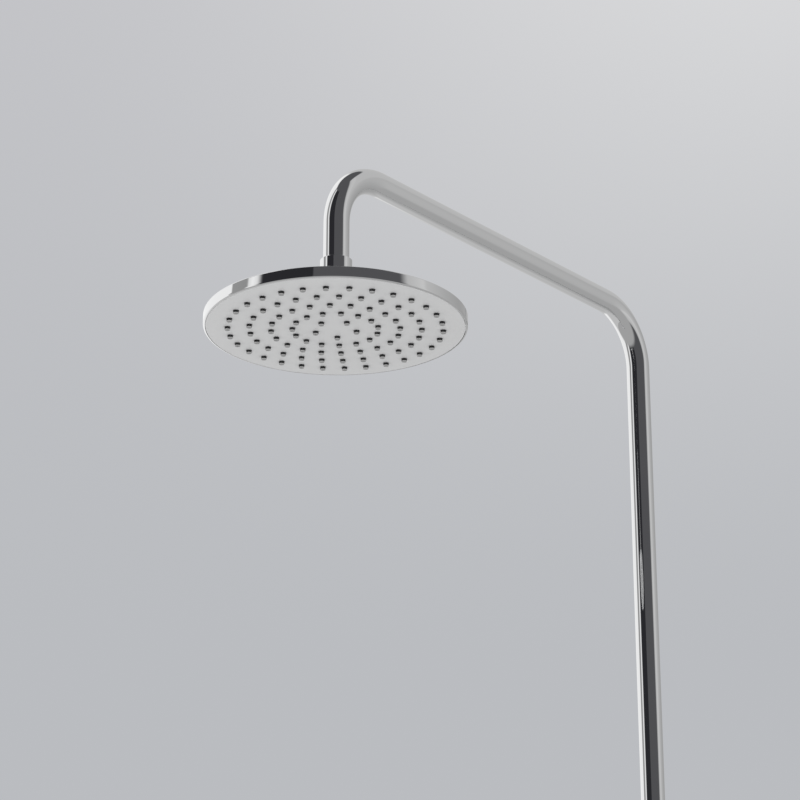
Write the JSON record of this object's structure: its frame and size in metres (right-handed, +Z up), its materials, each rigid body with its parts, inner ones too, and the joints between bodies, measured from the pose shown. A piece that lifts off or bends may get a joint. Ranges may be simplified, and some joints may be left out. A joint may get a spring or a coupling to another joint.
{
  "type": "shower rail set",
  "caption": "Wall-mounted shower rail set: bent riser with a round overhead shower on a ball joint, slide rail with hand-shower holder, and a diverter at its foot.",
  "frame": {"origin": "centre of the upper wall base's back face, on the wall", "axes": "+Z up, +Y into the wall, -Y into the room, +X to the right for someone facing the wall"},
  "size_m": [0.2, 0.567, 1.106],
  "materials": {
    "chromed_brass": "polished chrome plate",
    "chromed_abs": "polished chrome plate on moulded plastic",
    "zinc": "raw zinc casting",
    "brass": "machined brass",
    "steel": "stainless steel",
    "grey_plate": "satin light grey",
    "grey_silicone": "matt silicone",
    "black_rubber": "matt rubber",
    "white_plastic": "moulded",
    "ceramic": "lapped ceramic"
  },
  "bodies": {
    "wall_set": {"upper_pipe": "chromed_brass", "lower_rail": "chromed_brass", "joint_spigot": "brass", "joint_seals": "black_rubber", "upper_wall_base": "zinc", "upper_rosette": "chromed_brass", "upper_grub_screw": "steel", "lower_wall_base": "zinc", "lower_rosette": "chromed_brass", "lower_grub_screw": "steel", "bracket_post": "chromed_brass", "bracket_bush": "white_plastic", "arm_nipple": "brass", "swivel_nut": "chromed_brass", "ball_stem": "brass", "flow_regulator": "white_plastic", "seal_washer": "black_rubber", "filter_screen": "steel", "diverter_body": "chromed_brass", "inlet_nipple": "brass", "outlet_nipple": "brass", "check_valve": "white_plastic", "base_seal": "black_rubber", "cartridge_housing": "white_plastic", "fixed_disc": "ceramic", "cartridge_nut": "brass"},
    "seat_ring": {"ball_seat": "white_plastic"},
    "overhead": {"head_shell": "chromed_abs", "ball_retainer": "chromed_brass", "ball_seal": "black_rubber", "face_plate": "grey_plate", "nozzle_mat": "grey_silicone", "water_cover": "white_plastic", "feed_gasket": "black_rubber", "cover_screws": "steel"},
    "slider": {"slider_body": "chromed_abs", "slider_bush": "white_plastic"},
    "brake": {"brake_shoe": "white_plastic"},
    "lock": {"lock_knob": "chromed_abs", "lock_spindle": "brass"},
    "holder_arm": {"holder": "chromed_abs", "pivot_screw": "chromed_brass", "pivot_nut": "chromed_brass", "pivot_washers": "white_plastic"},
    "hand_shower": {"handset_shell": "chromed_abs", "handset_face": "grey_plate", "handset_mat": "grey_silicone", "handset_clamp": "white_plastic", "handset_tube": "white_plastic", "handset_inlet": "brass"},
    "dial": {"diverter_knob": "chromed_abs", "knob_screw": "steel", "knob_cap": "chromed_abs", "cartridge_spindle": "brass", "turning_disc": "ceramic"}
  },
  "joints": [
    {"name": "overhead_swivel", "type": "hinge", "parent": "wall_set", "child": "seat_ring", "pos_m": [0, -0.467, 0.36475], "axis": [0, 0, 1], "continuous": true},
    {"name": "overhead_tilt", "type": "hinge", "parent": "seat_ring", "child": "overhead", "pos_m": [0, -0.467, 0.36475], "axis": [1, 0, 0], "range_deg": [-15, 15]},
    {"name": "slider_travel", "type": "slide", "parent": "wall_set", "child": "slider", "axis": [0, 0, 1], "range_m": [-0.24, 0.13]},
    {"name": "lock_turn", "type": "hinge", "parent": "slider", "child": "lock", "pos_m": [0.03, -0.06, -0.2], "axis": [1, 0, 0], "range_deg": [0, 180]},
    {"name": "brake_travel", "type": "slide", "parent": "slider", "child": "brake", "axis": [1, 0, 0], "range_m": [0, 0.0008]},
    {"name": "holder_tilt", "type": "hinge", "parent": "slider", "child": "holder_arm", "pos_m": [0, -0.098, -0.2], "axis": [1, 0, 0], "range_deg": [-20, 15]},
    {"name": "handset_lift", "type": "slide", "parent": "holder_arm", "child": "hand_shower", "axis": [0, -0.4226, 0.9063], "range_m": [0, 0.06]},
    {"name": "diverter_turn", "type": "hinge", "parent": "wall_set", "child": "dial", "pos_m": [0, -0.1, -0.565], "axis": [0, -1, 0], "range_deg": [0, 90]}
  ],
  "couplings": [
    {"joint": "brake_travel", "follows": "lock_turn", "m_per_rad": 0.00023873}
  ]
}
